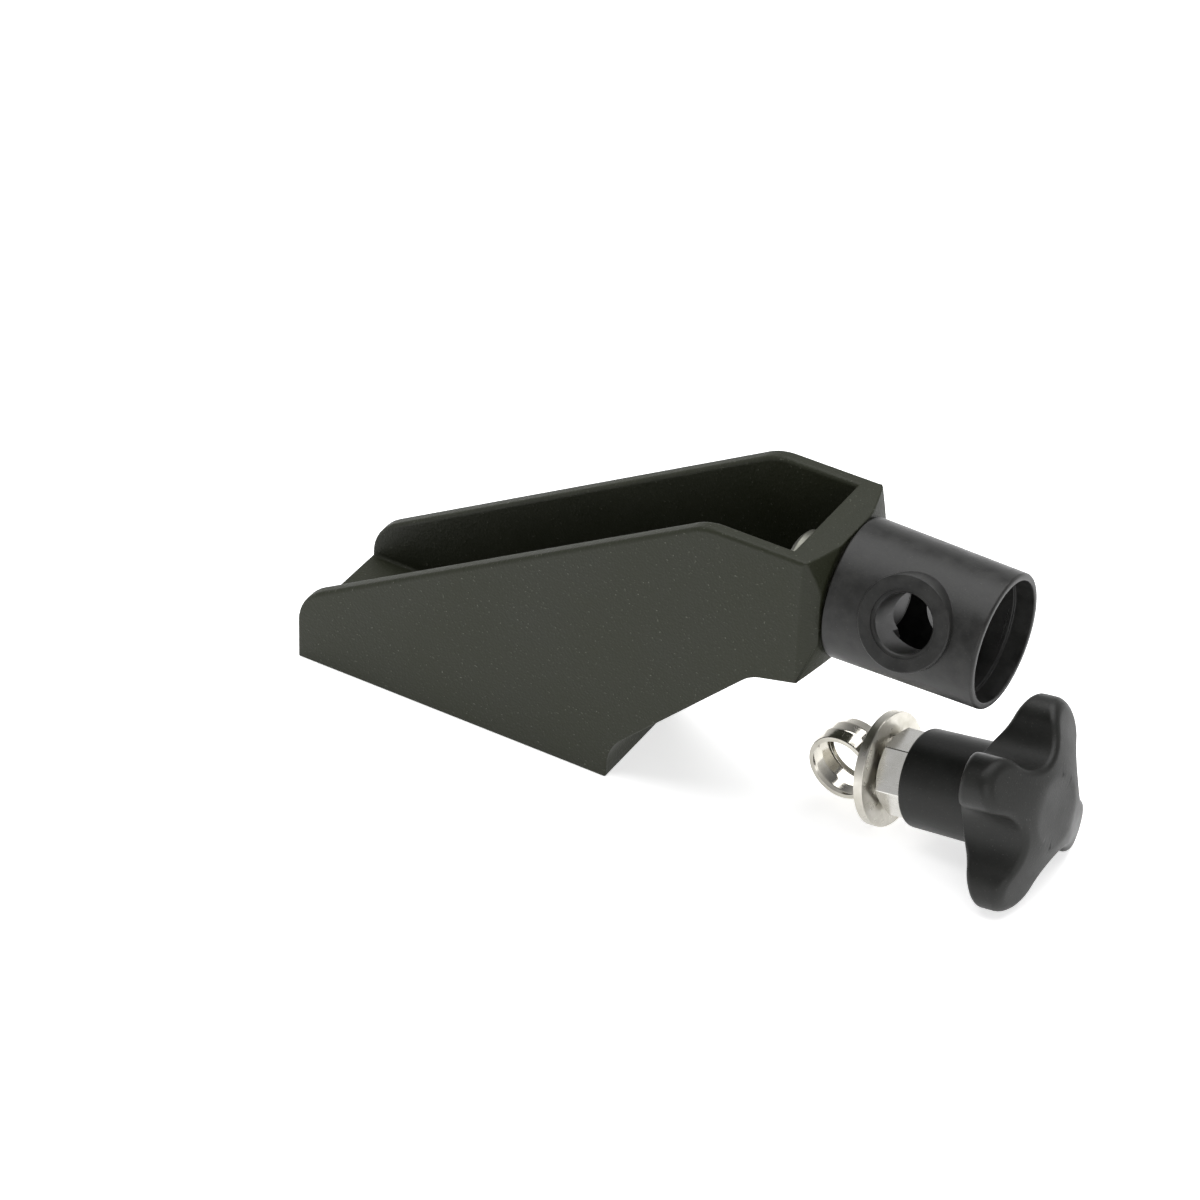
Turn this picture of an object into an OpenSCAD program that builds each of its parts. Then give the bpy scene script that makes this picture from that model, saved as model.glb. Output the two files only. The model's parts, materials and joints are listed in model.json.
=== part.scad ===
// Swivel rod bracket with a loose eyebolt clamp set.
// +Z is up and +X leaves the socket's mouth.
// The origin is on the swivel axis, at the socket's open rim.

/* [Bracket] */
// Width over the two side plates
bracket_w = 39; // [36:0.5:44]
// Thickness of the side plates, the floor and the web
plate_t = 4; // [3:0.1:5]
// Height of the plates' top edge above the swivel axis
top_z = 17; // [16.5:0.1:18]
// Depth of the level base below the swivel axis
base_drop = 69.2; // [66:0.1:72]
// Distance from the rim back to the open left end
reach = 186.2; // [180:0.1:195]
// Height of the channel floor above the base
floor_h = 10.6; // [9:0.1:14]
// Distance between the two fixing holes in the floor
fixing_pitch = 50; // [40:1:60]
// Diameter of the fixing holes
fixing_d = 6.6; // [5:0.1:7]

/* [Socket] */
// Outer diameter at the open rim
socket_d = 34; // [33:0.1:35]
// Length of the socket
socket_l = 39.6; // [39:0.1:42]
// Growth of the radius from the rim to the closed end
socket_taper = 0.7; // [0:0.1:0.9]
// Bore at the rim
mouth_d = 30.4; // [30:0.1:30.8]
// Diameter of the cavity behind the rim
cavity_d = 28.6; // [28:0.1:29.2]
// Diameter of the rod seat
seat_d = 14.6; // [14.4:0.05:14.8]
// Distance from the rim to the cross hole
cross_x = 18.9; // [18.5:0.1:19.3]
// Diameter of the cross hole through both walls
cross_d = 14.6; // [14:0.1:15]
// Outer diameter of the boss round the cross hole
boss_d = 23.4; // [22:0.1:24]
// Distance from the axis to the boss face
boss_face = 18.5; // [18:0.1:19.5]
// Angle of the boss above the horizontal, as it was left
boss_angle = 26; // [0:1:60]

/* [Pivot] */
// Thread of the pivot screw
pivot_d = 8; // [7:0.5:8]
// Outer diameter of the bearing sleeve
sleeve_d = 12; // [11:0.1:12.5]
// Gap between the bracket and the socket
swivel_gap = 1; // [0.8:0.1:1.2]
// Radial running clearance
run_clear = 0.05; // [0.03:0.01:0.08]

/* [Clamp set] */
// Rod hole of the eye
eye_bore = 14.6; // [14.4:0.05:14.8]
// Outer diameter of the eye at its faces
eye_d = 17.6; // [17.4:0.1:17.8]
// Extra radius at the middle of the barrel-shaped eye
eye_bulge = 0.7; // [0.4:0.1:0.8]
// Width of the eye
eye_w = 9.6; // [9:0.1:10]
// Thread of the eyebolt
bolt_d = 12; // [11:0.5:12]
// Outer diameter of the loose washer
washer_d = 29; // [28:0.5:30]
// Hole in the loose washer
washer_bore = 15; // [14.5:0.1:15.5]
// Thickness of the loose washer
washer_t = 2.5; // [2:0.1:3]
// Width across the flats of the hexagonal insert
hex_af = 19; // [18:0.5:19]
// Diameter of the knob's hub
hub_d = 24.8; // [24:0.1:25.4]
// Distance from the axis to the centre of a lobe's round tip
lobe_reach = 20.2; // [20:0.1:20.8]
// Radius of a lobe's round tip
lobe_r = 6.8; // [6.4:0.1:7]
// Radius of the bottom of the valleys between the lobes
valley_r = 13; // [12.8:0.1:13.2]

/* [Hidden] */
$fn = 96;

// Side profile of the bracket
half_w = bracket_w / 2;
channel_w = bracket_w - 2 * plate_t;
base_z = -base_drop;
floor_z = base_z + floor_h;
flange_x = -socket_l - swivel_gap;
wall_x = flange_x - 3.9;
wall_in_x = wall_x - 4.2;
toe_x = -95.2;
chin_z = -18.6;
apex_x = -71.3;
heel_z = -50.5;
chin_slope = 0.245;
// The web's outside climbs at 45 degrees on the line z = x + web_rise
web_rise = 35.1;
bend_x = (web_rise - chin_z + chin_slope * wall_x) / (chin_slope - 1);
web_in_rise = web_rise + plate_t * sqrt(2);
chin_in_z = chin_z + plate_t;
bend_in_x = (web_in_rise - chin_in_z + chin_slope * wall_x) / (chin_slope - 1);
outline = [
    [-reach, base_z, 0], [-reach, heel_z, 12.5], [apex_x, top_z, 14], [wall_x, top_z, 0],
    [wall_x, chin_z, 0], [bend_x, bend_x + web_rise, 10], [toe_x, toe_x + web_rise, 13],
    [toe_x, base_z, 0]
];
channel = [
    [-reach - 5, floor_z, 0], [floor_z - web_in_rise, floor_z, 6],
    [bend_in_x, bend_in_x + web_in_rise, 6],
    [wall_in_x, chin_in_z + chin_slope * (wall_in_x - wall_x), 2], [wall_in_x, top_z + 5, 0],
    [-reach - 5, top_z + 5, 0]
];
fixing_x = [for (side = [-1, 1]) -140 + side * fixing_pitch / 2];
fixing_boss_r = 6.5;

// Front transition from the square wall to the round face
flange_r = socket_d / 2 + socket_taper;
flat_half = 16.3;
corner_r = norm([half_w, (top_z - chin_z) / 2 + 0.8]);

// Socket
end_wall = 4;
cavity_x = -socket_l + end_wall;
mouth_depth = 5;
lip_r = 0.8;
boss_root = 12;
block_w = 19;
block_in = 3;
seat_x = [-27.4, -5.8];
eye_pocket_r = 10;
eye_pocket_w = 11.2;
pad_face = 13.3;

// Pivot stack, from the head to the nut
head_washer_t = 1.6;
wave_washer_t = 1;
head_h = 4.4;
head_r = 9.5;
head_socket = 5;
head_x = wall_in_x - head_washer_t - wave_washer_t;
play = 0.1;
nut_washer_x = cavity_x + play;
nut_washer_t = 1.2;
nut_x = nut_washer_x + nut_washer_t;
nut_h = 5;
nut_af = 13;
cap_h = 1.4;
screw_end = nut_x + nut_h;

// Clamp set: local +X runs from the eye to the knob, from the washer's outer face
eye_x = -12.4;
thread_end = 30;
hex_x = 0.9;
hex_end = 31;
hub_x = 8.6;
lobe_back = 27.5;
lobe_full = 33;
lobe_front = 41.5;
dome_top = 46;
hex_roll = 5;
lobe_drop = lobe_reach * sin(45) + lobe_r;
tip_reach = lobe_reach + lobe_r;
clamp_tilt = atan((lobe_drop - washer_d / 2) / (lobe_full + washer_t));
clamp_turn = -3;
clamp_pos = [-28.7, 5.4, base_z + washer_d / 2 * cos(clamp_tilt) + washer_t * sin(clamp_tilt)];

// Radius and centre of a valley arc that runs into both neighbouring tips
valley_arc = (lobe_reach * lobe_reach + valley_r * valley_r - sqrt(2) * lobe_reach * valley_r
    - lobe_r * lobe_r) / (2 * lobe_r - 2 * valley_r + sqrt(2) * lobe_reach);
valley_at = valley_r + valley_arc;
tip_sweep = atan2(valley_at * sin(45), valley_at * cos(45) - lobe_reach);

function unit(v) = v / norm(v);
function turn_between(from, to) = (to - from + 540) % 360 - 180;

// Points of an arc of radius r that rounds corner b between its neighbours a and c
function rounded(a, b, c, r) =
    let (u = unit(a - b), v = unit(c - b), half = acos(u * v) / 2,
         centre = b + unit(u + v) * r / sin(half),
         s = b + u * r / tan(half) - centre, e = b + v * r / tan(half) - centre,
         first = atan2(s[1], s[0]), sweep = turn_between(first, atan2(e[1], e[0])), steps = 10)
    [for (i = [0 : steps]) centre + r * [cos(first + sweep * i / steps), sin(first + sweep * i / steps)]];

function flat(p) = [p[0], p[1]];
function rounded_outline(corners) =
    let (n = len(corners))
    [for (i = [0 : n - 1])
        let (p = corners[i])
        each p[2] == 0 ? [flat(p)]
            : rounded(flat(corners[(i + n - 1) % n]), flat(p), flat(corners[(i + 1) % n]), p[2])];

// Round-tipped outline of the four lobes, with concave valleys
function lobe_outline() =
    [for (q = [0 : 3])
        let (tip = lobe_reach * [cos(90 * q), sin(90 * q)],
             dip = valley_at * [cos(90 * q + 45), sin(90 * q + 45)],
             first = 90 * q + tip_sweep + 180, last = 90 * q + 270 - tip_sweep)
        each concat(
            [for (i = [-8 : 8])
                let (a = 90 * q + tip_sweep * i / 8)
                tip + lobe_r * [cos(a), sin(a)]],
            [for (i = [1 : 7])
                let (a = first + (last - first) * i / 8)
                dip + valley_arc * [cos(a), sin(a)]])];

// Cylinder along +X from x0 to x1
module rod(r, x0, x1, fn = $fn) {
    translate([x0, 0, 0])
        rotate([0, 90, 0])
            cylinder(r = r, h = x1 - x0, $fn = fn);
}

// Solid of revolution about X from [x, radius] points
module turned(points) {
    rotate([0, 90, 0])
        rotate_extrude()
            polygon([for (p = points) [p[1], p[0]]]);
}

// Prism along Y from [x, z] points
module across(points, width) {
    rotate([90, 0, 0])
        translate([0, 0, -width / 2])
            linear_extrude(width)
                polygon(points);
}

module ring_x(r_out, r_in, x0, x1) {
    difference() {
        rod(r_out, x0, x1);
        rod(r_in, x0 - 1, x1 + 1);
    }
}

// Places a piece with +X pointing out through the socket's boss
module on_boss() {
    translate([-cross_x, 0, 0])
        rotate([-boss_angle, 0, 0])
            rotate([0, 0, -90])
                children();
}

module on_clamp() {
    translate(clamp_pos)
        rotate([0, -clamp_tilt, clamp_turn])
            children();
}

module flange() {
    intersection() {
        turned([[wall_x - 1, 0], [wall_x - 1, corner_r + 2], [wall_x, corner_r], [flange_x, flange_r],
                [flange_x, 0]]);
        across([[wall_x - 1, chin_z], [wall_x, chin_z], [flange_x, -flat_half], [flange_x, flat_half],
                [wall_x, top_z], [wall_x - 1, top_z]], bracket_w);
        translate([0, 0, -50])
            linear_extrude(100)
                polygon([[wall_x - 1, -half_w], [wall_x, -half_w], [flange_x, -flat_half],
                         [flange_x, flat_half], [wall_x, half_w], [wall_x - 1, half_w]]);
    }
}

module bracket_body() {
    color([0.16, 0.165, 0.145])
        difference() {
            union() {
                difference() {
                    across(rounded_outline(outline), bracket_w);
                    across(rounded_outline(channel), channel_w);
                    across([[-reach - 5, base_z - 5], [-reach - 5, floor_z - plate_t],
                            [toe_x - plate_t, floor_z - plate_t], [toe_x - plate_t, base_z - 5]], channel_w);
                }
                flange();
                for (x = fixing_x)
                    translate([x, 0, base_z])
                        cylinder(r = fixing_boss_r, h = floor_h - plate_t / 2);
            }
            for (x = fixing_x)
                translate([x, 0, base_z - 1])
                    cylinder(r = fixing_d / 2, h = floor_h + 2);
            rod(sleeve_d / 2 + run_clear, wall_in_x - 1, flange_x + 1);
        }
}

module socket_shell() {
    turned([[-socket_l, 0], [-socket_l, flange_r - 0.5], [-socket_l + 0.5, flange_r],
            [-lip_r, socket_d / 2], [-lip_r / 3, socket_d / 2 - lip_r / 4], [0, socket_d / 2 - lip_r],
            [0, mouth_d / 2], [-mouth_depth, mouth_d / 2],
            [-mouth_depth, cavity_d / 2], [cavity_x, cavity_d / 2], [cavity_x, 0]]);
}

module rod_socket() {
    color([0.2, 0.2, 0.2])
        difference() {
            union() {
                socket_shell();
                on_boss()
                    rod(boss_d / 2, boss_root, boss_face);
                intersection() {
                    rod(cavity_d / 2 + 0.5, cavity_x - 1, -mouth_depth - 0.5);
                    on_boss()
                        union() {
                            translate([block_in, seat_x[0] + cross_x, -block_w / 2])
                                cube([20, seat_x[1] - seat_x[0], block_w]);
                            translate([-20 - pad_face, cavity_x - 1 + cross_x, -block_w / 2])
                                cube([20, -mouth_depth - cavity_x, block_w]);
                        }
                }
            }
            rod(seat_d / 2, cavity_x, 1);
            rod(eye_pocket_r, -cross_x - eye_pocket_w / 2, -cross_x + eye_pocket_w / 2);
            rod(sleeve_d / 2 + run_clear, -socket_l - 1, cavity_x + 1);
            on_boss()
                rod(cross_d / 2, -30, 30);
            on_boss()
                rod(cross_d / 2 + 1.1, boss_face - 0.3, boss_face + 1);
        }
}

module pivot_screw() {
    color([0.62, 0.62, 0.6])
        difference() {
            union() {
                turned([[head_x - head_h, 0], [head_x - head_h, head_r - 1.3],
                        [head_x - head_h + 1.2, head_r],
                        [head_x, head_r], [head_x, 0]]);
                rod(pivot_d / 2, head_x - 1, screw_end);
            }
            rod(head_socket / sqrt(3), head_x - head_h - 1, head_x - head_h + 2.6, 6);
        }
}

module head_washer() {
    color([0.7, 0.7, 0.68])
        ring_x(head_r, pivot_d / 2 + 0.2, wall_in_x - head_washer_t, wall_in_x);
}

module wave_washer() {
    color([0.45, 0.45, 0.46])
        ring_x(head_r - 1, pivot_d / 2 + 0.3, head_x, head_x + wave_washer_t);
}

module pivot_sleeve() {
    color([0.75, 0.75, 0.73])
        ring_x(sleeve_d / 2, pivot_d / 2 + 0.05, wall_in_x, nut_washer_x);
}

module thrust_washer() {
    color([0.9, 0.88, 0.8])
        ring_x(13, sleeve_d / 2 + run_clear, flange_x, -socket_l - play);
}

module nut_washer() {
    color([0.7, 0.7, 0.68])
        ring_x(8, pivot_d / 2 + 0.2, nut_washer_x, nut_x);
}

module pivot_nut() {
    color([0.14, 0.14, 0.13])
        difference() {
            union() {
                rod(nut_af / sqrt(3), nut_x, nut_x + nut_h, 6);
                rod(nut_af / 2 - 0.2, nut_x, nut_x + nut_h + cap_h);
            }
            rod(pivot_d / 2, nut_x - 1, nut_x + nut_h + 1);
            rod(nut_af / 2 - 1, nut_x + nut_h, nut_x + nut_h + cap_h + 1);
        }
}

module nut_cap() {
    color([0.06, 0.06, 0.06])
        rod(nut_af / 2 - 1, nut_x + nut_h, nut_x + nut_h + cap_h);
}

module eyebolt() {
    color([0.78, 0.77, 0.74])
        on_clamp()
            difference() {
                union() {
                    translate([eye_x, 0, 0])
                        rotate([90, 0, 0])
                            rotate_extrude()
                                polygon([[0, -eye_w / 2], [eye_d / 2, -eye_w / 2],
                                         [eye_d / 2 + eye_bulge, -eye_w / 6],
                                         [eye_d / 2 + eye_bulge, eye_w / 6],
                                         [eye_d / 2, eye_w / 2], [0, eye_w / 2]]);
                    turned([[eye_x, 0], [eye_x, bolt_d / 2], [thread_end - 1, bolt_d / 2],
                            [thread_end, bolt_d / 2 - 1], [thread_end, 0]]);
                }
                translate([eye_x, 0, 0])
                    rotate([90, 0, 0])
                        cylinder(r = eye_bore / 2, h = eye_w + 12, center = true);
            }
}

module clamp_washer() {
    color([0.66, 0.65, 0.62])
        on_clamp()
            ring_x(washer_d / 2, washer_bore / 2, -washer_t, 0);
}

module hex_insert() {
    color([0.8, 0.8, 0.78])
        on_clamp()
            difference() {
                intersection() {
                    rotate([hex_roll, 0, 0])
                        rotate([0, 90, 0])
                            rotate([0, 0, 90])
                                translate([0, 0, hex_x])
                                    cylinder(r = hex_af / sqrt(3), h = hex_end - hex_x, $fn = 6);
                    turned([[hex_x, 0], [hex_x, hex_af / 2 - 0.2], [hex_x + 1, hex_af / sqrt(3) + 0.1],
                            [hex_end, hex_af / sqrt(3) + 0.1], [hex_end, 0]]);
                }
                rod(bolt_d / 2 + run_clear, hex_x - 1, hex_end + 1);
            }
}

module knob() {
    color([0.13, 0.13, 0.13])
        on_clamp()
            difference() {
                union() {
                    turned([[hub_x, 0], [hub_x, hub_d / 2 - 0.8], [hub_x + 0.8, hub_d / 2],
                            [lobe_back + 3, hub_d / 2 + 0.5], [lobe_back + 3, 0]]);
                    intersection() {
                        rotate([45, 0, 0])
                            rotate([0, 90, 0])
                                translate([0, 0, lobe_back])
                                    linear_extrude(dome_top - lobe_back)
                                        polygon(lobe_outline());
                        turned([[lobe_back, 0], [lobe_back, valley_r + 0.5], [lobe_full, tip_reach - 1.5],
                                [lobe_full + 1.5, tip_reach + 0.5], [lobe_front - 3, tip_reach + 0.5],
                                [lobe_front, tip_reach - 4], [dome_top - 1.2, valley_r + 0.5],
                                [dome_top, 10], [dome_top, 0]]);
                    }
                }
                rotate([hex_roll, 0, 0])
                    rotate([0, 90, 0])
                        rotate([0, 0, 90])
                            translate([0, 0, hub_x - 1])
                                cylinder(r = hex_af / sqrt(3), h = hex_end - hub_x + 1, $fn = 6);
                rod(bolt_d / 2 + 0.4, hub_x, hex_end + 2);
            }
}

bracket_body();
rod_socket();
pivot_screw();
head_washer();
wave_washer();
pivot_sleeve();
thrust_washer();
nut_washer();
pivot_nut();
nut_cap();
eyebolt();
clamp_washer();
hex_insert();
knob();
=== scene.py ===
import json
import math

import bmesh
import bpy
from mathutils import Matrix, Vector


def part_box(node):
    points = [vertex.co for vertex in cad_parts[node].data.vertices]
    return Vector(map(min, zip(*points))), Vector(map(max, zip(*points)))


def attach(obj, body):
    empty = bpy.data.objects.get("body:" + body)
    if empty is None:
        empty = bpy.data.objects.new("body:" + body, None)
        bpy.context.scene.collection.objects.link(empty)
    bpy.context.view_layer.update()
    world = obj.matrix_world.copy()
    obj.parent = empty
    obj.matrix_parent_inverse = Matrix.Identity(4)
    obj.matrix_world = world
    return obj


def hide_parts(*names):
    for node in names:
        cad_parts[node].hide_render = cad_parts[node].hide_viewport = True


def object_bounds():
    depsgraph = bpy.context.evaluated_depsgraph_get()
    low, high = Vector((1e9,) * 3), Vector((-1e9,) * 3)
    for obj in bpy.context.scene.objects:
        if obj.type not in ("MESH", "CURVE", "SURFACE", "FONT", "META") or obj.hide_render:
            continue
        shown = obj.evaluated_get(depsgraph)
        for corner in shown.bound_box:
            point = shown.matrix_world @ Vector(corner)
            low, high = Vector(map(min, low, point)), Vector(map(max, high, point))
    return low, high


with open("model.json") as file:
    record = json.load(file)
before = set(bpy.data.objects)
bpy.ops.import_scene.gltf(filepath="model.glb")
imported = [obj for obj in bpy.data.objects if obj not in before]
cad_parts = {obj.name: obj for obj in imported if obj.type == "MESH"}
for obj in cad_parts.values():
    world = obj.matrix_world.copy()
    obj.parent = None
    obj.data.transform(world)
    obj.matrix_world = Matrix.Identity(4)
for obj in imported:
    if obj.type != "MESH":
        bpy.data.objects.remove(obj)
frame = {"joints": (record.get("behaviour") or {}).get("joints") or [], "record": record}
cad_box = [list(corner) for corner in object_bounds()]

# ---------------------------------------------------------------------------
# Bracket body
# One injection moulding in black glass-filled nylon: two side plates joined by a floor, a sloping web and
# an end wall. The mould is split along the plates, so their edges are rounded and the channel's corners
# filleted.
# ---------------------------------------------------------------------------
MM = 0.001
lowest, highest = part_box("bracket_body")
left_end, base, top = lowest.x / MM, lowest.z / MM, highest.z / MM
half_width = highest.y / MM
plate = 4.0
floor_top = base + 10.6
neck_length, end_wall = 3.9, 4.2
wall_front = highest.x / MM - neck_length
wall_back = wall_front - end_wall
chin = -18.6
toe = -95.2
web_rise = 35.1
web_inside_rise = web_rise + plate * math.sqrt(2)
chin_slope = 0.245


def rounded_corners(corners, steps=8):
    """Outline of (x, z, radius) corners in mm, each sharp corner swapped for its arc."""
    outline = []
    for i, (x, z, radius) in enumerate(corners):
        here = Vector((x, z))
        if radius == 0:
            outline.append(here)
            continue
        before = (Vector(corners[i - 1][:2]) - here).normalized()
        after = (Vector(corners[(i + 1) % len(corners)][:2]) - here).normalized()
        half = before.angle(after) / 2
        centre = here + (before + after).normalized() * radius / math.sin(half)
        start = here + before * radius / math.tan(half) - centre
        end = here + after * radius / math.tan(half) - centre
        first = math.atan2(start.y, start.x)
        sweep = (math.atan2(end.y, end.x) - first + math.pi) % math.tau - math.pi
        for step in range(steps + 1):
            angle = first + sweep * step / steps
            outline.append(centre + radius * Vector((math.cos(angle), math.sin(angle))))
    return outline


def object_from(bm, name, place=Matrix.Identity(4)):
    """Makes an object of a mesh drawn in millimetres, with its place in its mesh."""
    bmesh.ops.remove_doubles(bm, verts=bm.verts, dist=1e-5)
    bmesh.ops.recalc_face_normals(bm, faces=bm.faces)
    bm.transform(Matrix.Scale(MM, 4) @ place)
    mesh = bpy.data.meshes.new(name)
    bm.to_mesh(mesh)
    bm.free()
    made = bpy.data.objects.new(name, mesh)
    bpy.context.scene.collection.objects.link(made)
    return made


def loft(rings, name, place=Matrix.Identity(4), closed=False):
    """Skins equal rings of points. A ring of one point is a tip; closed joins the last ring to the first."""
    bm = bmesh.new()
    rows = [[bm.verts.new(point) for point in ring] for ring in rings]
    pairs = list(zip(rows, rows[1:])) + ([(rows[-1], rows[0])] if closed else [])
    for low, high in pairs:
        count = max(len(low), len(high))
        for i in range(count if count > 1 else 0):
            j = (i + 1) % count
            corners = [low[i % len(low)], low[j % len(low)], high[j % len(high)], high[i % len(high)]]
            bm.faces.new(list(dict.fromkeys(corners)))
    if not closed:
        for row in (rows[0], rows[-1]):
            if len(row) > 2:
                bm.faces.new(row)
    return object_from(bm, name, place)


def across(outline, half, name="tool"):
    """Prism along Y over an (x, z) outline."""
    return loft([[(p[0], y, p[1]) for p in outline] for y in (-half, half)], name)


def turned(profile, name="tool", place=Matrix.Identity(4), segments=128, hollow=False):
    """Turns (x, radius) points about local X. A hollow profile is a closed loop that stays off the axis."""
    rings = []
    for x, radius in profile:
        if radius < 1e-6:
            rings.append([(x, 0, 0)])
        else:
            turns = [math.tau * i / segments for i in range(segments)]
            rings.append([(x, radius * math.cos(a), radius * math.sin(a)) for a in turns])
    return loft(rings, name, place, closed=hollow)


def shape(body, tool, how):
    """Joins, cuts or trims body with tool, which is used up."""
    step = body.modifiers.new(how, "BOOLEAN")
    step.operation, step.solver, step.object = how, "EXACT", tool
    graph = bpy.context.evaluated_depsgraph_get()
    shaped = bpy.data.meshes.new_from_object(body.evaluated_get(graph))
    body.modifiers.clear()
    body.data = shaped
    bpy.data.objects.remove(tool)
    return body


def join(body, tool):
    return shape(body, tool, "UNION")


def cut(body, tool):
    return shape(body, tool, "DIFFERENCE")


def trim(body, tool):
    return shape(body, tool, "INTERSECT")


def round_edges(body, widest, width_of, sharpest=math.radians(15), segments=4):
    """Rounds each edge that turns more than sharpest, by the width in mm that width_of gives for it."""
    bm = bmesh.new()
    bm.from_mesh(body.data)
    bmesh.ops.remove_doubles(bm, verts=bm.verts, dist=2e-6)
    bmesh.ops.dissolve_limit(bm, angle_limit=math.radians(0.3), verts=bm.verts, edges=bm.edges)
    weight = bm.edges.layers.float.new("bevel_weight_edge")
    for edge in bm.edges:
        if len(edge.link_faces) == 2 and edge.calc_face_angle() > sharpest:
            ends = [v.co / MM for v in edge.verts]
            edge[weight] = width_of(ends[0], ends[1], edge.calc_face_angle_signed() > 0) / widest
    bm.to_mesh(body.data)
    bm.free()
    bevel = body.modifiers.new("rounded edges", "BEVEL")
    bevel.limit_method, bevel.width, bevel.segments = "WEIGHT", widest * MM, segments
    bevel.use_clamp_overlap = False
    graph = bpy.context.evaluated_depsgraph_get()
    body.data = bpy.data.meshes.new_from_object(body.evaluated_get(graph))
    body.modifiers.clear()
    return body


def smooth(body, angle=32):
    """Smooth shading, with flat faces kept flat between their rounded edges."""
    for face in body.data.polygons:
        face.use_smooth = True
    body.data.set_sharp_from_angle(angle=math.radians(angle))
    flat = body.modifiers.new("flat faces stay flat", "WEIGHTED_NORMAL")
    flat.keep_sharp = True
    return body


def web_bend(rise, start):
    """Where the 45 degree web meets the gently falling underside of the end wall."""
    x = (rise - start + chin_slope * wall_front) / (chin_slope - 1)
    return x, x + rise


bend_x, bend_z = web_bend(web_rise, chin)
inner_x, inner_z = web_bend(web_inside_rise, chin + plate)
side_outline = rounded_corners([
    (left_end, base, 0), (left_end, -50.5, 12.5), (-71.3, top, 14), (wall_front, top, 0),
    (wall_front, chin, 0), (bend_x, bend_z, 10), (toe, toe + web_rise, 13), (toe, base, 0)])
channel_outline = rounded_corners([
    (left_end - 5, floor_top, 0), (floor_top - web_inside_rise, floor_top, 6), (inner_x, inner_z, 6),
    (wall_back, chin + plate + chin_slope * (wall_back - wall_front), 2), (wall_back, top + 5, 0),
    (left_end - 5, top + 5, 0)])
channel_half = half_width - plate
bracket = across(side_outline, half_width, "bracket_body_moulding")
cut(bracket, across(channel_outline, channel_half))
cut(bracket, across([(left_end - 5, base - 5), (left_end - 5, floor_top - plate),
                     (toe - plate, floor_top - plate), (toe - plate, base - 5)], channel_half))

# The end wall runs out into a round face through a cone whose corners are cut back by four flats.
face_x = highest.x / MM
face_radius = 17.7
face_flat = 16.3
corner_radius = math.hypot(half_width, chin) + 0.3
root = wall_front - 1
neck = turned([(root, 0), (root, corner_radius + 2), (wall_front, corner_radius),
               (face_x, face_radius), (face_x, 0)], segments=192)


def frustum_ring(x, half, low, high):
    return [(x, -half, low), (x, half, low), (x, half, high), (x, -half, high)]


trim(neck, loft([frustum_ring(root, half_width - 1, chin + 1, top - 1),
                 frustum_ring(wall_front, half_width, chin, top),
                 frustum_ring(face_x, face_flat, -face_flat, face_flat)], "tool"))
join(bracket, neck)

# Two screw bosses stand in the hollow under the floor, and the sleeve's bore goes through the end wall.
bolt_row = next(m for m in frame["record"]["mounts"] if m["name"] == "fixing_holes")
boss_radius = 6.5
upright = Matrix.Rotation(math.radians(-90), 4, "Y")
bolt_at = [bolt_row["pos_m"][0] / MM + side * bolt_row["dims"]["spacing_x_mm"] / 2 for side in (-1, 1)]
for x in bolt_at:
    stand = Matrix.Translation((x, 0, 0)) @ upright
    join(bracket, turned([(base, 0), (base, boss_radius), (floor_top - 2, boss_radius + 0.15),
                          (floor_top - 2, 0)], place=stand, segments=64))
    hole = bolt_row["dims"]["hole_r_mm"]
    cut(bracket, turned([(base - 1, 0), (base - 1, hole), (floor_top - 0.7, hole), (floor_top + 0.3, hole + 1),
                         (floor_top + 0.3, 0)], place=stand, segments=64))
sleeve_bore = 6.05
cut(bracket, turned([(wall_back - 1, 0), (wall_back - 1, sleeve_bore), (face_x + 1, sleeve_bore),
                     (face_x + 1, 0)]))

lip_rounding, fine_rounding = 1.2, 0.5


def bracket_edge(a, b, outward):
    """Edge roundings in mm: full along the plates' open rims, a fillet in the channel, fine elsewhere."""
    middle = (a + b) / 2
    if any(math.hypot(middle.x - x, middle.y) < hole + 1.3 for x in bolt_at):
        return 0.15
    along_plate = abs(a.y - b.y) < 0.01 and abs(a.y) > channel_half - 0.01
    above_floor = middle.z > floor_top + 0.5
    if not outward:
        return 0.8 if abs(middle.y) > channel_half - 0.6 else fine_rounding
    if middle.x > wall_front - 0.5:
        return 0.35
    if along_plate and above_floor and middle.z > middle.x + web_inside_rise:
        growth = min(1.0, (middle.x - left_end) / 6, max(0.0, (wall_back - 2 - middle.x) / 3))
        return fine_rounding + (lip_rounding - fine_rounding) * growth
    return fine_rounding


round_edges(bracket, lip_rounding, bracket_edge)
smooth(bracket)


def new_group(name, inputs, outputs):
    """A shader node group with named sockets, and its input and output nodes."""
    tree = bpy.data.node_groups.new(name, "ShaderNodeTree")
    for label, kind, value in inputs:
        tree.interface.new_socket(label, in_out="INPUT", socket_type=kind).default_value = value
    for label, kind in outputs:
        tree.interface.new_socket(label, in_out="OUTPUT", socket_type=kind)
    return tree, tree.nodes.new("NodeGroupInput").outputs, tree.nodes.new("NodeGroupOutput").inputs


def noise(tree, vector, scale, detail=3.0, roughness=0.55):
    """A noise texture's value. Scale is a number, or a socket that gives one."""
    node = tree.nodes.new("ShaderNodeTexNoise")
    node.inputs["Detail"].default_value = detail
    node.inputs["Roughness"].default_value = roughness
    tree.links.new(vector, node.inputs["Vector"])
    if isinstance(scale, (int, float)):
        node.inputs["Scale"].default_value = scale
    else:
        tree.links.new(scale, node.inputs["Scale"])
    return node.outputs["Fac"]


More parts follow.
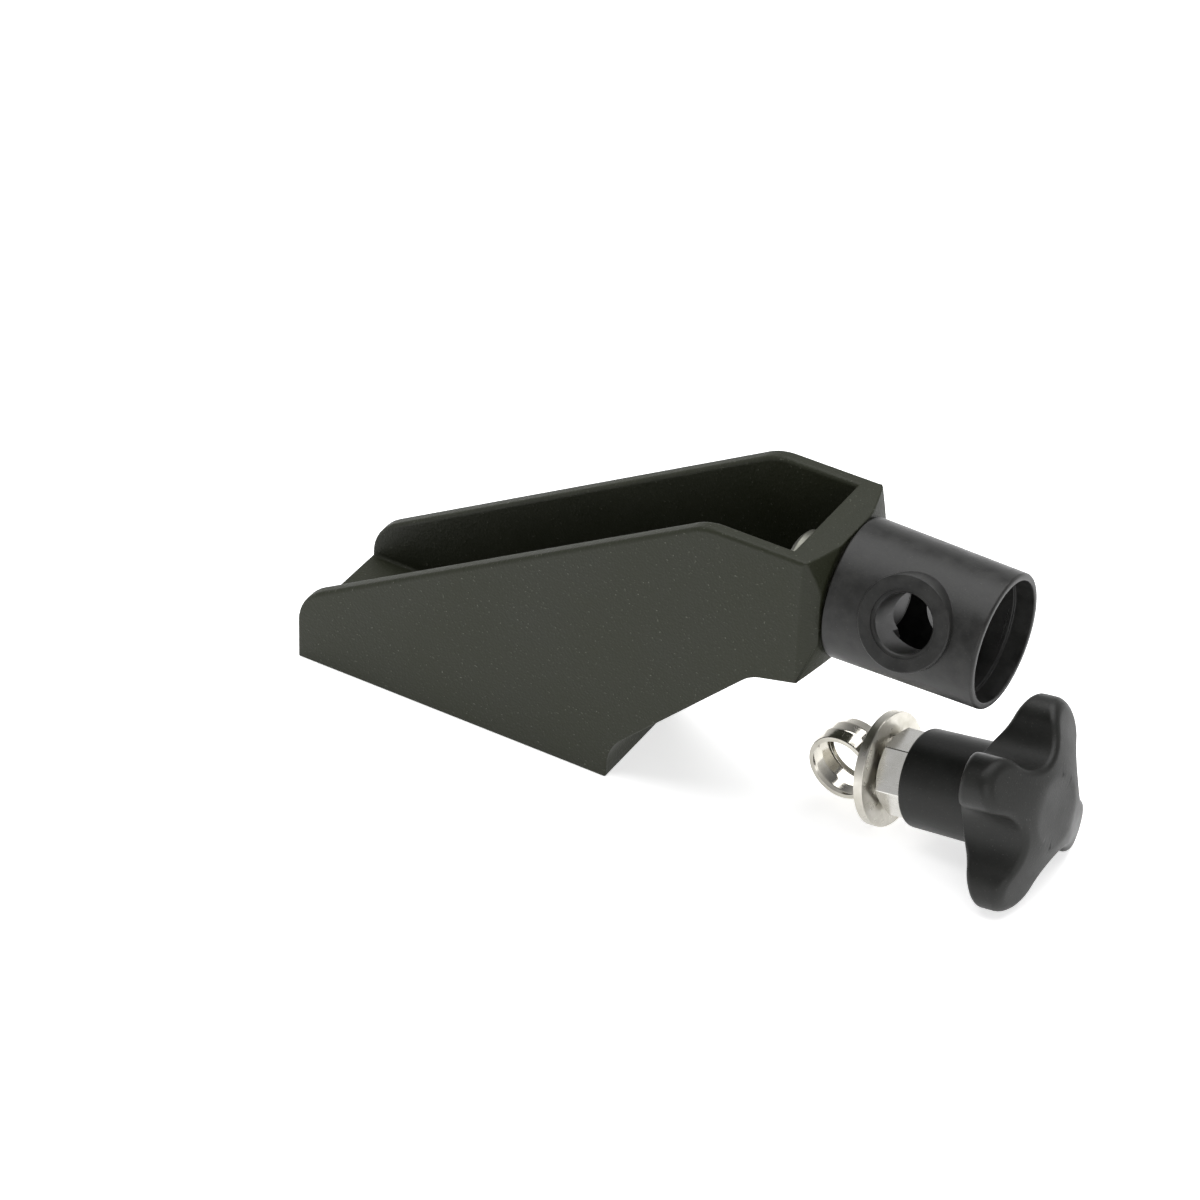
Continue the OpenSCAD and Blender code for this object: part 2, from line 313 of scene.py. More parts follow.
def spread(tree, value, low, high, to_low=0.0, to_high=1.0):
    """Stretches value from low..high to to_low..to_high, each a number or a socket."""
    node = tree.nodes.new("ShaderNodeMapRange")
    tree.links.new(value, node.inputs["Value"])
    for label, amount in (("From Min", low), ("From Max", high), ("To Min", to_low), ("To Max", to_high)):
        if isinstance(amount, (int, float)):
            node.inputs[label].default_value = amount
        else:
            tree.links.new(amount, node.inputs[label])
    return node.outputs["Result"]


def blend_colours(tree, share, first, second):
    node = tree.nodes.new("ShaderNodeMix")
    node.data_type = "RGBA"
    tree.links.new(share, node.inputs["Factor"])
    for socket, colour in ((node.inputs[6], first), (node.inputs[7], second)):
        if isinstance(colour, tuple):
            socket.default_value = (*colour, 1)
        else:
            tree.links.new(colour, socket)
    return node.outputs[2]


def bump(tree, height, distance, strength=1.0, normal=None):
    node = tree.nodes.new("ShaderNodeBump")
    node.inputs["Strength"].default_value = strength
    tree.links.new(height, node.inputs["Height"])
    if isinstance(distance, (int, float)):
        node.inputs["Distance"].default_value = distance
    else:
        tree.links.new(distance, node.inputs["Distance"])
    if normal:
        tree.links.new(normal, node.inputs["Normal"])
    return node.outputs["Normal"]


# Skin of a glass-filled moulding: a slow drift of tone from the melt, a fine spark-eroded grain, and pale
# fibre ends.
skin, skin_in, skin_out = new_group(
    "moulded skin",
    [("Colour", "NodeSocketColor", (0.02, 0.02, 0.02, 1)),
     ("Drift colour", "NodeSocketColor", (0.03, 0.03, 0.03, 1)),
     ("Fibre colour", "NodeSocketColor", (0.08, 0.08, 0.07, 1)), ("Drift scale", "NodeSocketFloat", 60.0),
     ("Grain scale", "NodeSocketFloat", 1600.0), ("Grain depth", "NodeSocketFloat", 0.00004),
     ("Smoothest", "NodeSocketFloat", 0.4), ("Roughest", "NodeSocketFloat", 0.6)],
    [("Colour", "NodeSocketColor"), ("Roughness", "NodeSocketFloat"), ("Normal", "NodeSocketVector")])
place_on_piece = skin.nodes.new("ShaderNodeTexCoord").outputs["Object"]
drift = noise(skin, place_on_piece, skin_in["Drift scale"], 5.0, 0.6)
grain = noise(skin, place_on_piece, skin_in["Grain scale"], 2.0, 0.5)
toned = blend_colours(skin, spread(skin, drift, 0.35, 0.65), skin_in["Colour"], skin_in["Drift colour"])
flecked = blend_colours(skin, spread(skin, grain, 0.66, 0.8), toned, skin_in["Fibre colour"])
skin.links.new(flecked, skin_out["Colour"])
skin.links.new(spread(skin, drift, 0.3, 0.7, skin_in["Smoothest"], skin_in["Roughest"]), skin_out["Roughness"])
skin.links.new(bump(skin, grain, skin_in["Grain depth"]), skin_out["Normal"])


def new_material(name, **uniform):
    """A Principled material. Uniform values go on the shader's own sockets."""
    material = bpy.data.materials.new(name)
    material.use_nodes = True
    shader = material.node_tree.nodes["Principled BSDF"]
    for label, value in uniform.items():
        shader.inputs[label.replace("_", " ")].default_value = value
    return material, material.node_tree, shader.inputs


def use_group(tree, group, **values):
    """Places a node group in a material, with this material's own values."""
    node = tree.nodes.new("ShaderNodeGroup")
    node.node_tree = group
    for label, value in values.items():
        node.inputs[label.replace("_", " ")].default_value = (*value, 1) if isinstance(value, tuple) else value
    return node.outputs


def moulded(name, **values):
    material, tree, shader = new_material(name, IOR=1.53, Specular_IOR_Level=0.24)
    made = use_group(tree, skin, **values)
    tree.links.new(made["Colour"], shader["Base Color"])
    tree.links.new(made["Roughness"], shader["Roughness"])
    tree.links.new(made["Normal"], shader["Normal"])
    return material


def finish(piece, node, body, material):
    """Gives a piece its material, and sets it on its body in place of its CAD node."""
    piece.data.materials.clear()
    piece.data.materials.append(material)
    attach(piece, body)
    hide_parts(node)


bracket_nylon = moulded("bracket nylon", Colour=(0.0110, 0.0128, 0.0052), Drift_colour=(0.0140, 0.0160, 0.0070),
                        Fibre_colour=(0.070, 0.074, 0.056), Drift_scale=38.0, Grain_scale=1500.0,
                        Grain_depth=0.00012, Smoothest=0.5, Roughest=0.6)
finish(bracket, "bracket_body", "bracket", bracket_nylon)

# ---------------------------------------------------------------------------
# Pivot: screw, washers, sleeve, nut and cap
# Zinc-plated steel. The M8 screw goes through a head washer, a wave washer that gives the swivel its friction,
# and a bearing sleeve. A black nut with a nylon cap inside the socket holds it. A nylon washer fills the gap.
# ---------------------------------------------------------------------------
screw_low, screw_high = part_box("pivot_screw")
nut_low, nut_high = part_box("pivot_nut")
wave_low, wave_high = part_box("wave_washer")


def washer(node, bore, edge, name, place=Matrix.Identity(4)):
    """A flat ring at its CAD node's place, with rounded edges."""
    low, high = (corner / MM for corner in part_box(node))
    section = [(low.x, bore, edge), (low.x, high.y, edge), (high.x, high.y, edge), (high.x, bore, edge)]
    return smooth(turned(rounded_corners(section, 3), name, place, hollow=True))


def threaded(start, end, radius, pitch, name, place=Matrix.Identity(4), segments=64, lead_in=1.0):
    """A rod along local X with a right-hand thread that fades out towards its end."""
    rows_per_turn = 10
    depth = 0.56 * pitch
    count = round((end - start) / pitch * rows_per_turn)
    rings = [[(start, 0, 0)]]
    for row in range(count + 1):
        x = start + (end - start) * row / count
        near_end = max(0.0, lead_in - (end - x))
        ring = []
        for i in range(segments):
            angle = math.tau * i / segments
            wave = 0.5 + 0.5 * math.cos(math.tau * x / pitch - angle)
            groove = depth * min(1.0, max(0.0, 1.25 * (1 - wave) - 0.12))
            reach = min(radius - groove, radius - near_end)
            ring.append((x, reach * math.cos(angle), reach * math.sin(angle)))
        rings.append(ring)
    rings.append([(end, 0, 0)])
    return loft(rings, name, place)


def hexagon(across_flats, start, end, roll=0.0, place=Matrix.Identity(4)):
    reach = across_flats / math.sqrt(3)
    angles = [math.radians(60 * i + 30 + roll) for i in range(6)]
    return loft([[(x, reach * math.sin(a), reach * math.cos(a)) for a in angles] for x in (start, end)],
                "tool", place)


# Brushed or plated steel: long fine streaks or an all-over haze in the roughness, and faint tone drift.
steel_skin, steel_in, steel_out = new_group(
    "worked steel",
    [("Colour", "NodeSocketColor", (0.6, 0.6, 0.6, 1)), ("Drift colour", "NodeSocketColor", (0.5, 0.5, 0.5, 1)),
     ("Turn", "NodeSocketVector", (0, 0, 0)), ("Stretch", "NodeSocketVector", (1, 1, 1)),
     ("Line scale", "NodeSocketFloat", 900.0), ("Line depth", "NodeSocketFloat", 0.00001),
     ("Smoothest", "NodeSocketFloat", 0.15), ("Roughest", "NodeSocketFloat", 0.3)],
    [("Colour", "NodeSocketColor"), ("Roughness", "NodeSocketFloat"), ("Normal", "NodeSocketVector")])
steel_place = steel_skin.nodes.new("ShaderNodeTexCoord").outputs["Object"]
turn_to_axis = steel_skin.nodes.new("ShaderNodeVectorRotate")
turn_to_axis.rotation_type = "EULER_XYZ"
steel_skin.links.new(steel_place, turn_to_axis.inputs["Vector"])
steel_skin.links.new(steel_in["Turn"], turn_to_axis.inputs["Rotation"])
drawn_out = steel_skin.nodes.new("ShaderNodeVectorMath")
drawn_out.operation = "MULTIPLY"
steel_skin.links.new(turn_to_axis.outputs["Vector"], drawn_out.inputs[0])
steel_skin.links.new(steel_in["Stretch"], drawn_out.inputs[1])
lines = noise(steel_skin, drawn_out.outputs["Vector"], steel_in["Line scale"], 4.0, 0.6)
haze = noise(steel_skin, steel_place, 140.0, 4.0, 0.6)
steel_skin.links.new(blend_colours(steel_skin, spread(steel_skin, haze, 0.4, 0.7), steel_in["Colour"],
                                   steel_in["Drift colour"]), steel_out["Colour"])
worked = steel_skin.nodes.new("ShaderNodeMath")
worked.operation = "MULTIPLY_ADD"
steel_skin.links.new(lines, worked.inputs[0])
worked.inputs[1].default_value = 0.6
steel_skin.links.new(spread(steel_skin, haze, 0.0, 1.0, 0.0, 0.4), worked.inputs[2])
steel_skin.links.new(spread(steel_skin, worked.outputs[0], 0.35, 0.65, steel_in["Smoothest"],
                            steel_in["Roughest"]), steel_out["Roughness"])
steel_skin.links.new(bump(steel_skin, lines, steel_in["Line depth"]), steel_out["Normal"])


def steel(name, **values):
    material, tree, shader = new_material(name, Metallic=1.0)
    made = use_group(tree, steel_skin)
    node = made["Colour"].node
    for label, value in values.items():
        socket = node.inputs[label.replace("_", " ")]
        socket.default_value = (*value, 1) if socket.type == "RGBA" else value
    tree.links.new(made["Colour"], shader["Base Color"])
    tree.links.new(made["Roughness"], shader["Roughness"])
    tree.links.new(made["Normal"], shader["Normal"])
    return material


zinc = steel("zinc plate", Colour=(0.66, 0.67, 0.66), Drift_colour=(0.56, 0.57, 0.60), Line_scale=420.0,
             Smoothest=0.26, Roughest=0.42)
spring_steel = steel("spring steel", Colour=(0.33, 0.33, 0.34), Drift_colour=(0.24, 0.24, 0.26),
                     Line_scale=600.0, Smoothest=0.3, Roughest=0.45)

head_end, head_seat, screw_end = screw_low.x / MM, screw_low.x / MM + 4.4, screw_high.x / MM
head_radius = screw_high.y / MM
screw = turned(rounded_corners([(head_end, 0, 0), (head_end, head_radius - 1.3, 0.4),
                                (head_end + 1.2, head_radius, 0.5), (head_seat, head_radius, 0.15),
                                (head_seat, 0, 0)], 5),
               "pivot_screw_m8")
join(screw, threaded(head_seat - 0.5, screw_end, 4, 1.25, "tool", segments=48))
cut(screw, hexagon(5, head_end - 1, head_end + 2.6))
smooth(screw)
dull_zinc = steel("dull zinc plate", Colour=(0.20, 0.20, 0.175), Drift_colour=(0.14, 0.14, 0.12),
                  Line_scale=420.0, Smoothest=0.42, Roughest=0.58)
finish(screw, "pivot_screw", "bracket", dull_zinc)

finish(washer("head_washer", 4.2, 0.25, "head_washer_ring"), "head_washer", "bracket", zinc)
finish(washer("nut_washer", 4.2, 0.2, "nut_washer_ring"), "nut_washer", "bracket", zinc)
finish(washer("pivot_sleeve", 4.05, 0.15, "pivot_sleeve_tube"), "pivot_sleeve", "bracket", zinc)

# Three waves pressed into thin spring strip.
wave_thick, wave_mid = 0.4, (wave_low.x + wave_high.x) / 2 / MM
wave_lift = (wave_high.x - wave_low.x) / MM / 2 - wave_thick / 2
wave_rings = []
wave_bore, wave_shoulder, wave_rim = 4.3, 8.3, 8.5
wave_section = ((-0.5, wave_bore), (-0.5, wave_shoulder), (0, wave_rim), (0.5, wave_shoulder), (0.5, wave_bore))
for off, radius in wave_section:
    wave_rings.append([(wave_mid + off * wave_thick + wave_lift * math.sin(3 * math.tau * i / 96),
                        radius * math.cos(math.tau * i / 96), radius * math.sin(math.tau * i / 96))
                       for i in range(96)])
wave = smooth(loft(wave_rings, "wave_washer_spring", closed=True))
finish(wave, "wave_washer", "bracket", spring_steel)

natural = moulded("natural nylon", Colour=(0.62, 0.60, 0.52), Drift_colour=(0.66, 0.64, 0.57),
                  Fibre_colour=(0.70, 0.68, 0.62), Grain_depth=0.00001, Smoothest=0.35, Roughest=0.45)
thrust_ring = washer("thrust_washer", sleeve_bore, 0.15, "thrust_washer_ring")
finish(thrust_ring, "thrust_washer", "bracket", natural)

nut_start, nut_end = nut_low.x / MM, nut_high.x / MM
nut_flats, nut_height, nut_chamfer, nut_corner = 13, 5, 6.4, 7.55
collar, collar_tip, recess, thread_radius = 6.3, 5.9, 5.5, 4
nut = hexagon(nut_flats, nut_start, nut_start + nut_height)
nut.name = "pivot_nut_m8"
trim(nut, turned([(nut_start, 0), (nut_start, nut_chamfer), (nut_start + 0.7, nut_corner),
                  (nut_start + 4.3, nut_corner), (nut_start + nut_height, nut_chamfer),
                  (nut_start + nut_height, 0)]))
join(nut, turned([(nut_start + 4, 0), (nut_start + 4, collar), (nut_end - 0.5, collar), (nut_end, collar_tip),
                  (nut_end, 0)]))
cut(nut, turned([(nut_start - 1, 0), (nut_start - 1, thread_radius), (nut_start + nut_height, thread_radius),
                 (nut_start + nut_height, recess), (nut_end + 1, recess), (nut_end + 1, 0)]))
smooth(nut)
black_zinc = steel("black zinc plate", Colour=(0.055, 0.055, 0.052), Drift_colour=(0.035, 0.035, 0.034),
                   Line_scale=420.0, Smoothest=0.4, Roughest=0.55)
finish(nut, "pivot_nut", "bracket", black_zinc)
cap_low, cap_high = (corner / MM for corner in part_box("nut_cap"))
cap = turned(rounded_corners([(cap_low.x, 0, 0), (cap_low.x, cap_high.y, 0.05), (cap_high.x, cap_high.y, 0.3),
                              (cap_high.x, 0, 0)], 3), "nut_cap_plug")
smooth(cap)
cap_nylon = moulded("cap nylon", Colour=(0.010, 0.010, 0.010), Drift_colour=(0.014, 0.014, 0.014),
                    Fibre_colour=(0.03, 0.03, 0.03), Grain_depth=0.00001, Smoothest=0.4, Roughest=0.5)
finish(cap, "nut_cap", "bracket", cap_nylon)

# ---------------------------------------------------------------------------
# Rod socket
# A satin black nylon tube with a closed end, which turns on the sleeve. A round boss with a faced front carries
# the eyebolt's hole, and inside it a block holds half of the rod's seat and leaves a pocket for the eye.
# ---------------------------------------------------------------------------
socket_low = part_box("rod_socket")[0]
cross = next(m for m in frame["record"]["mounts"] if m["name"] == "cross_hole")
out_of_boss = Vector(cross["axis"])
closed_end, rim = socket_low.x / MM, 0.0
end_wall_x = closed_end + 4
cross_x = cross["pos_m"][0] / MM
boss_turn = math.atan2(out_of_boss.z, -out_of_boss.y)
on_boss = (Matrix.Translation((cross_x, 0, 0)) @ Matrix.Rotation(-boss_turn, 4, "X")
           @ Matrix.Rotation(math.radians(-90), 4, "Z"))
hole_radius = cross["dims"]["r_mm"]
boss_face = 18.5
tube_radius, mouth_radius, mouth_depth, cavity = 17, 15.2, 5, 14.3

socket = turned(rounded_corners([
    (closed_end, sleeve_bore, 0.2), (closed_end, face_radius, 0.5), (rim, tube_radius, 0.8),
    (rim, mouth_radius, 0.35), (-mouth_depth, mouth_radius, 0.3), (-mouth_depth, cavity, 0.3),
    (end_wall_x, cavity, 1.0), (end_wall_x, sleeve_bore, 0.2)], 5),
    "rod_socket_moulding", segments=192, hollow=True)
boss_root, boss_base, boss_rim = 12, 11.85, 11.7
join(socket, turned(rounded_corners([(boss_root, 0, 0), (boss_root, boss_base, 0), (boss_face, boss_rim, 0.45),
                                     (boss_face, 0, 0)], 4), place=on_boss, segments=144))


def block(x0, x1, y0, y1, half_height, place):
    return loft([[(x, y0, -half_height), (x, y1, -half_height), (x, y1, half_height), (x, y0, half_height)]
                 for x in (x0, x1)], "tool", place)


for inner in (block(3, 23, -8.5, 13.1, 9.5, on_boss), block(-33.3, -13.3, -17.7, 12.9, 9.5, on_boss)):
    trim(inner, turned([(end_wall_x - 1, 0), (end_wall_x - 1, cavity + 0.4), (-5.5, cavity + 0.4), (-5.5, 0)],
                       segments=160))
    join(socket, inner)
seat_radius = next(m for m in frame["record"]["mounts"] if m["name"] == "rod_seat")["dims"]["r_mm"]
cut(socket, turned([(end_wall_x, 0), (end_wall_x, seat_radius), (-6.8, seat_radius), (-4.8, seat_radius + 1.6),
                    (1, seat_radius + 1.6), (1, 0)]))
pocket_half, pocket_radius = 5.6, 10
cut(socket, turned([(cross_x - pocket_half, 0), (cross_x - pocket_half, pocket_radius),
                    (cross_x + pocket_half, pocket_radius), (cross_x + pocket_half, 0)]))
cut(socket, turned([(-30, 0), (-30, hole_radius), (boss_face - 0.7, hole_radius),
                    (boss_face - 0.3, hole_radius + 0.35), (boss_face - 0.3, hole_radius + 1.05),
                    (boss_face - 0.22, hole_radius + 1.1), (boss_face + 1, hole_radius + 1.12),
                    (boss_face + 1, 0)], place=on_boss, segments=144))
smooth(socket)
socket_nylon = moulded("socket nylon", Colour=(0.010, 0.010, 0.0095), Drift_colour=(0.021, 0.021, 0.020),
                       Fibre_colour=(0.045, 0.045, 0.042), Drift_scale=250.0, Grain_scale=2600.0,
                       Grain_depth=0.000018, Smoothest=0.36, Roughest=0.47)
finish(socket, "rod_socket", "socket", socket_nylon)

# ---------------------------------------------------------------------------
# Eyebolt
# Polished stainless steel. A short tube with a barrelled outside is welded on the end of an M12 threaded rod;
# the eye grips a rod when the knob draws it back into the socket's pocket.
# ---------------------------------------------------------------------------
turn_joint = next(j for j in frame["joints"] if j["name"] == "knob_turn")
clamp_axis = Vector(turn_joint["axis"]).normalized()
level_side = Vector((0, 0, 1)).cross(clamp_axis).normalized()
clamp_turn = Matrix((clamp_axis, level_side, clamp_axis.cross(level_side))).transposed()
on_clamp = Matrix.Translation(Vector(turn_joint["pos_m"]) / MM) @ clamp_turn.to_4x4()
to_clamp_axes = clamp_turn.inverted().to_euler()
eye_centre = -12.4
on_eye = on_clamp @ Matrix.Translation((eye_centre, 0, 0)) @ Matrix.Rotation(math.radians(90), 4, "Z")
eye_half, eye_face, eye_middle = 4.8, 8.8, 9.5
eye_bore = next(m for m in frame["record"]["mounts"] if m["name"] == "eye_hole")["dims"]["r_mm"]

barrel = [(-eye_half, 0, 0), (-eye_half, eye_face, 0.35), (-1.6, eye_middle, 3.0), (1.6, eye_middle, 3.0),
          (eye_half, eye_face, 0.35), (eye_half, 0, 0)]
eyebolt = turned(rounded_corners(barrel, 6), "eyebolt_with_barrel_eye", on_eye, segments=160)
join(eyebolt, turned([(eye_centre + 4, 0), (eye_centre + 4, 5.2), (-1.2, 5.2), (-0.6, 4.9), (-0.6, 0)],
                     place=on_clamp, segments=64))
join(eyebolt, threaded(-1.4, 30, 6, 1.75, "tool", on_clamp))
eye_flare = eye_bore + 0.4
cut(eyebolt, turned([(-9, 0), (-9, eye_flare + 0.2), (-eye_half - 0.1, eye_flare), (-eye_half + 0.25, eye_bore),
                     (eye_half - 0.25, eye_bore), (eye_half + 0.1, eye_flare), (9, eye_flare + 0.2), (9, 0)],
                    place=on_eye, segments=160))
smooth(eyebolt)
polished = steel("polished stainless", Colour=(0.56, 0.54, 0.48), Drift_colour=(0.44, 0.42, 0.37),
                 Turn=to_clamp_axes, Stretch=(0.25, 1.6, 0.25), Line_scale=1300.0, Line_depth=0.000002,
                 Smoothest=0.07, Roughest=0.17)
finish(eyebolt, "eyebolt", "eye", polished)

# ---------------------------------------------------------------------------
# Clamp washer
# Stamped from stainless sheet and tumbled: the punch leaves one edge of the rim and bore rolled over and the
# other nearly sharp, and the flat faces have a dull, slightly warm skin.
# ---------------------------------------------------------------------------
washer_outer, washer_bore, washer_thick = 14.5, 7.5, 2.5
stamped_ring = turned(rounded_corners([
    (-washer_thick, washer_bore, 0.2), (-washer_thick, washer_outer, 0.2), (0, washer_outer, 0.3),
    (0, washer_bore, 0.25)], 5), "clamp_washer_ring", on_clamp, segments=144, hollow=True)
smooth(stamped_ring)
stamped = steel("stamped stainless", Colour=(0.60, 0.58, 0.53), Drift_colour=(0.47, 0.45, 0.39),
                Turn=to_clamp_axes, Line_scale=520.0, Line_depth=0.000012, Smoothest=0.22, Roughest=0.44)
finish(stamped_ring, "clamp_washer", "washer", stamped)

# ---------------------------------------------------------------------------
# Hexagonal insert
# A length of bright drawn 19 mm hexagon bar, drilled and tapped, with its end turned back to a chamfer. The
# knob is moulded round it, and the draw lines run along its flats.
# ---------------------------------------------------------------------------
hex_flats, hex_roll = 19, 5
hex_start, hex_end, hub_start = 0.9, 31, 8.6
insert = hexagon(hex_flats, hex_start, hex_end, hex_roll, on_clamp)
insert.name = "hex_insert_bar"
hex_rounding = 0.25
round_edges(insert, hex_rounding, lambda *edge: hex_rounding, segments=3)
trim(insert, turned([(hex_start, 0), (hex_start, hex_flats / 2 - 0.3), (hex_start + 1.0, 11.1), (hex_end, 11.1),
                     (hex_end, 0)], place=on_clamp))
cut(insert, turned([(hex_start - 1, 0), (hex_start - 1, 7.1), (hex_start, 7.1), (hex_start + 1, 6.08),
                    (hex_end + 1, 6.08), (hex_end + 1, 0)], place=on_clamp))
smooth(insert)
drawn = steel("bright drawn bar", Colour=(0.74, 0.73, 0.70), Drift_colour=(0.66, 0.65, 0.61),
              Turn=to_clamp_axes, Stretch=(0.04, 1, 1), Line_scale=1500.0, Line_depth=0.000004,
              Smoothest=0.16, Roughest=0.3)
finish(insert, "hex_insert", "handknob", drawn)

# ---------------------------------------------------------------------------
# Knob
# Black glass-filled nylon, moulded in one piece round the insert. A long round hub opens into four rounded
# lobes with deep valleys, and the front is slightly domed with a flat middle.
# ---------------------------------------------------------------------------
hub_radius, lobe_reach, lobe_radius, valley_radius = 12.4, 20.2, 6.8, 13.0
hub_flare, lobe_back, crown = 0.3, 27.5, 46.0
valley_arc = ((lobe_reach ** 2 + valley_radius ** 2 - math.sqrt(2) * lobe_reach * valley_radius
               - lobe_radius ** 2)
              / (2 * lobe_radius - 2 * valley_radius + math.sqrt(2) * lobe_reach))
valley_centre = valley_radius + valley_arc
tip_sweep = math.atan2(valley_centre * math.sin(math.pi / 4),
                       valley_centre * math.cos(math.pi / 4) - lobe_reach)


def lobed_outline():
    """(point, outward normal) round the four lobes."""
    points = []
    for quarter in range(4):
        ahead = math.pi / 2 * quarter
        tip = lobe_reach * Vector((math.cos(ahead), math.sin(ahead)))
        dip = valley_centre * Vector((math.cos(ahead + math.pi / 4), math.sin(ahead + math.pi / 4)))
        for i in range(-16, 17):
            normal = Vector((math.cos(ahead + tip_sweep * i / 16), math.sin(ahead + tip_sweep * i / 16)))
            points.append((tip + lobe_radius * normal, normal))
        first, last = ahead + tip_sweep + math.pi, ahead + 3 * math.pi / 2 - tip_sweep
        for i in range(1, 16):
            angle = first + (last - first) * i / 16
            inward = Vector((math.cos(angle), math.sin(angle)))
            points.append((dip + valley_arc * inward, -inward))
    return points


def crown_height(radius):
    """The front surface: flat in the middle, falling away to the tips."""
    return crown - 5.3 * (max(0.0, radius - 9) / 16) ** 1.165


def back_height(radius):
    """The lobes' back faces lean towards the front as they go out."""
    return lobe_back + 0.4 * max(0.0, radius - 13.5)


outline = lobed_outline()
rings = [[(hub_start, 0, 0)]]
hub_circle = [point.normalized() for point, normal in outline]


def hub_ring(k, radius):
    return [(k, radius * p.x, radius * p.y) for p in hub_circle]


for step in range(6):
    angle = math.pi / 2 * step / 5
    rings.append(hub_ring(hub_start + 1.1 * (1 - math.cos(angle)), hub_radius - 1.1 * (1 - math.sin(angle))))
rings.append(hub_ring(16, hub_radius + 0.1))
rings.append(hub_ring(21, hub_radius + 0.2))


def lobe_rounding(point, most):
    """Rounding that fades where a valley runs into the hub."""
    return min(most, max(0.1, 0.42 * (point.length - hub_radius - hub_flare)))


for step in range(7):
    angle = math.pi / 2 * step / 6
    ring = []
    for (point, normal), spoke in zip(outline, hub_circle):
        fillet = lobe_rounding(point, 2.6)
        radius = hub_radius + hub_flare + fillet * (1 - math.cos(angle))
        root_height = back_height(hub_radius + hub_flare + fillet)
        ring.append((root_height - fillet * (1 - math.sin(angle)), radius * spoke.x, radius * spoke.y))
    rings.append(ring)
halfway = []
for inner, (point, normal) in zip(rings[-1], outline):
    rim_point = point - normal * lobe_rounding(point, 1.9)
    rim_height = back_height(rim_point.length)
    halfway.append(((inner[0] + rim_height) / 2, (inner[1] + rim_point.x) / 2, (inner[2] + rim_point.y) / 2))
rings.append(halfway)
for step in range(7):
    angle = math.pi / 2 * step / 6
    ring = []
    for point, normal in outline:
        soft = lobe_rounding(point, 1.9)
        edge = point - normal * soft * (1 - math.sin(angle))
        rim_height = back_height((point - normal * soft).length)
        ring.append((rim_height + soft * (1 - math.cos(angle)), edge.x, edge.y))
    rings.append(ring)


def front_rounding(point):
    """Tight in the valleys and full at the tips."""
    return 1.4 + 0.08 * (point.length - valley_radius)


for step in range(8):
    angle = math.pi / 2 * step / 7
    ring = []
    for point, normal in outline:
        front_soft = front_rounding(point)
        edge = point - normal * front_soft * (1 - math.cos(angle))
        ring.append((crown_height(edge.length) - front_soft * (1 - math.sin(angle)), edge.x, edge.y))
    rings.append(ring)
for share in (0.95, 0.9, 0.84, 0.77, 0.7, 0.62, 0.54, 0.46, 0.38, 0.29, 0.2, 0.1):
    ring = []
    for point, normal in outline:
        edge = (point - normal * front_rounding(point)) * share
        ring.append((crown_height(edge.length), edge.x, edge.y))
    rings.append(ring)
rings.append([(crown, 0, 0)])
lobe_turn = on_clamp @ Matrix.Rotation(math.radians(45), 4, "X")
knob = loft(rings, "knob_moulding", lobe_turn)
cut(knob, hexagon(hex_flats, hub_start - 1, hex_end, hex_roll, on_clamp))
smooth(knob, 40)
knob_nylon = moulded("knob nylon", Colour=(0.0085, 0.0088, 0.0078), Drift_colour=(0.0120, 0.0124, 0.0110),
                     Fibre_colour=(0.045, 0.046, 0.041), Drift_scale=120.0, Grain_scale=2200.0,
                     Grain_depth=0.00003, Smoothest=0.38, Roughest=0.5)
finish(knob, "knob", "handknob", knob_nylon)

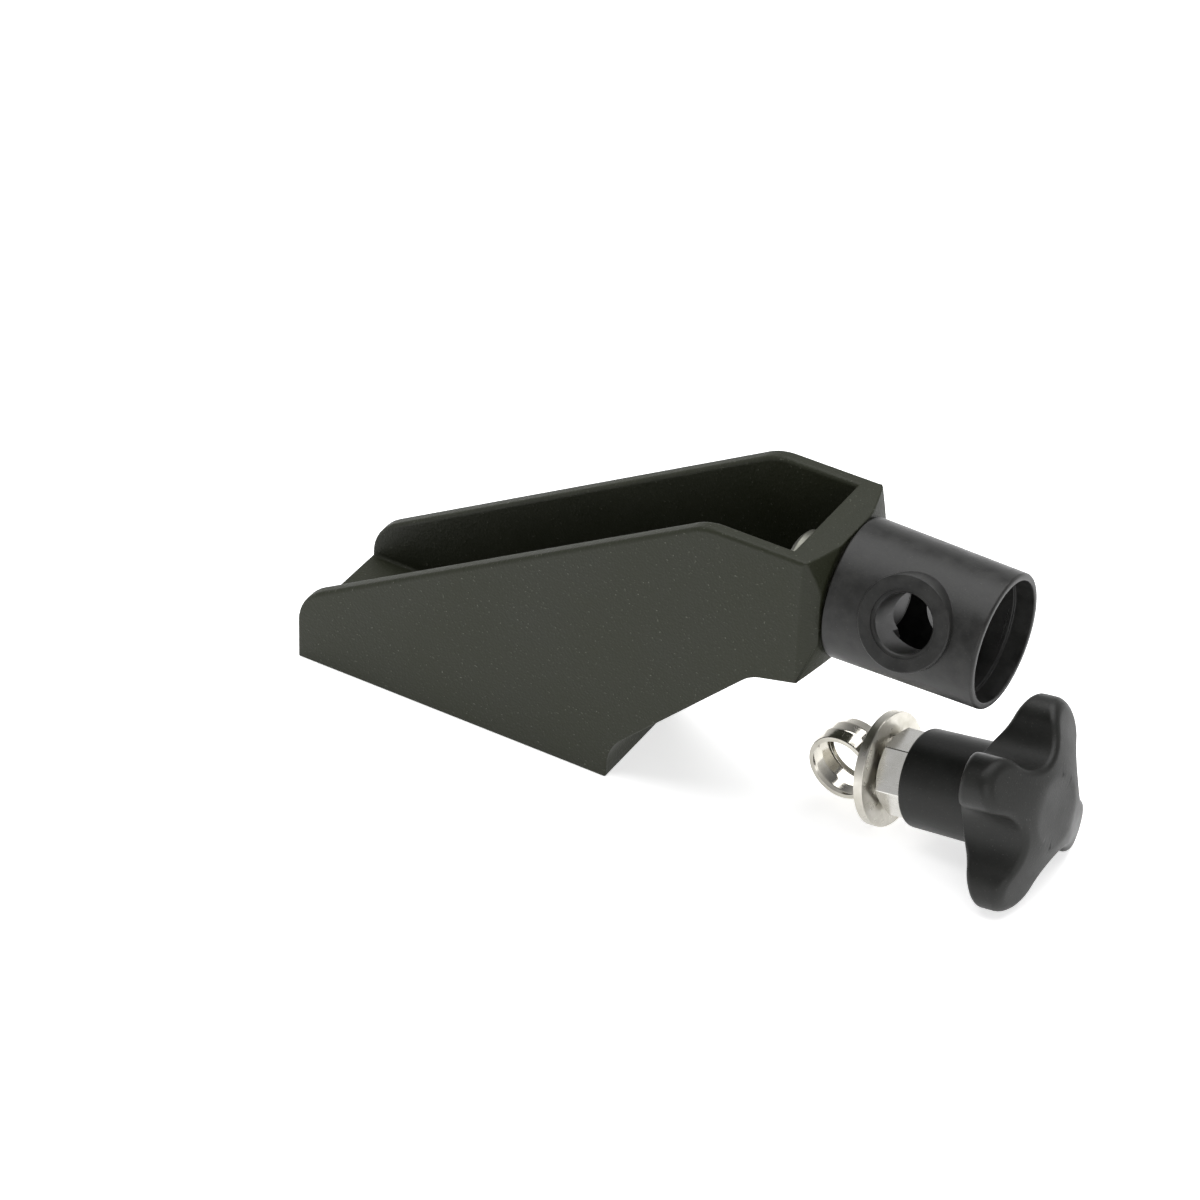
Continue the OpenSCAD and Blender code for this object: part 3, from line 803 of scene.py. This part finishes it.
# ---------------------------------------------------------------------------
# Studio
# A plain pale floor that gives off a little light of its own, a large soft light overhead, and a room that is
# bright near the table and dim above. A long lens looks down from above and to the front.
# ---------------------------------------------------------------------------
low, high = (Vector(corner) for corner in cad_box)
bm = bmesh.new()
bmesh.ops.create_grid(bm, x_segments=1, y_segments=1, size=6000)
studio_floor = object_from(bm, "studio_floor", Matrix.Translation((0, 0, low.z / MM)))
floor_paint, floor_tree, floor_shader = new_material("floor paint", Roughness=0.8, Emission_Color=(1, 1, 1, 1),
                                                    Emission_Strength=0.6)
floor_place = floor_tree.nodes.new("ShaderNodeTexCoord").outputs["Object"]
floor_tone = blend_colours(floor_tree, noise(floor_tree, floor_place, 3.0), (0.93, 0.93, 0.93),
                           (0.95, 0.95, 0.95))
floor_tree.links.new(floor_tone, floor_shader["Base Color"])
studio_floor.data.materials.append(floor_paint)

room = bpy.data.worlds.new("dim room over a bright table")
room.use_nodes = True
room_tree = room.node_tree
direction = room_tree.nodes.new("ShaderNodeTexCoord").outputs["Generated"]
upward = room_tree.nodes.new("ShaderNodeSeparateXYZ")
room_tree.links.new(direction, upward.inputs["Vector"])
height = spread(room_tree, upward.outputs["Z"], 0.0, 0.7)
room_tree.links.new(blend_colours(room_tree, height, (1.0, 1.0, 1.0), (0.16, 0.16, 0.165)),
                    room_tree.nodes["Background"].inputs["Color"])
room_tree.nodes["Background"].inputs["Strength"].default_value = 1.0
bpy.context.scene.world = room


def soft_light(name, position, aim, size, power):
    light = bpy.data.lights.new(name, "AREA")
    light.shape, light.size, light.energy = "SQUARE", size, power
    lamp = bpy.data.objects.new(name, light)
    lamp.location = position
    lamp.rotation_euler = (Vector(aim) - Vector(position)).to_track_quat("-Z", "Y").to_euler()
    bpy.context.scene.collection.objects.link(lamp)


middle = (low + high) / 2
soft_light("overhead softbox", middle + Vector((-0.1, 0.2, 1.2)), middle, 1.5, 26)
soft_light("front fill", middle + Vector((0.9, -1.0, 0.45)), middle, 0.6, 3)

azimuth, elevation, roll = math.radians(29.476), math.radians(36.801), math.radians(2.124)
distance = 1.2256
aim = Vector((-0.10546, -0.00716, -0.02623))
away = Vector((math.cos(elevation) * math.sin(azimuth), -math.cos(elevation) * math.cos(azimuth),
               math.sin(elevation)))
lens = bpy.data.cameras.new("long lens")
lens.lens, lens.sensor_width = 150, 36
lens.clip_start = 0.05
camera = bpy.data.objects.new("camera", lens)
camera.location = aim + away * distance
camera.rotation_euler = (Matrix.Rotation(azimuth, 3, "Z") @ Matrix.Rotation(math.pi / 2 - elevation, 3, "X")
                         @ Matrix.Rotation(roll, 3, "Z")).to_euler()
bpy.context.scene.collection.objects.link(camera)
bpy.context.scene.camera = camera
bpy.context.scene.view_settings.view_transform = "Standard"
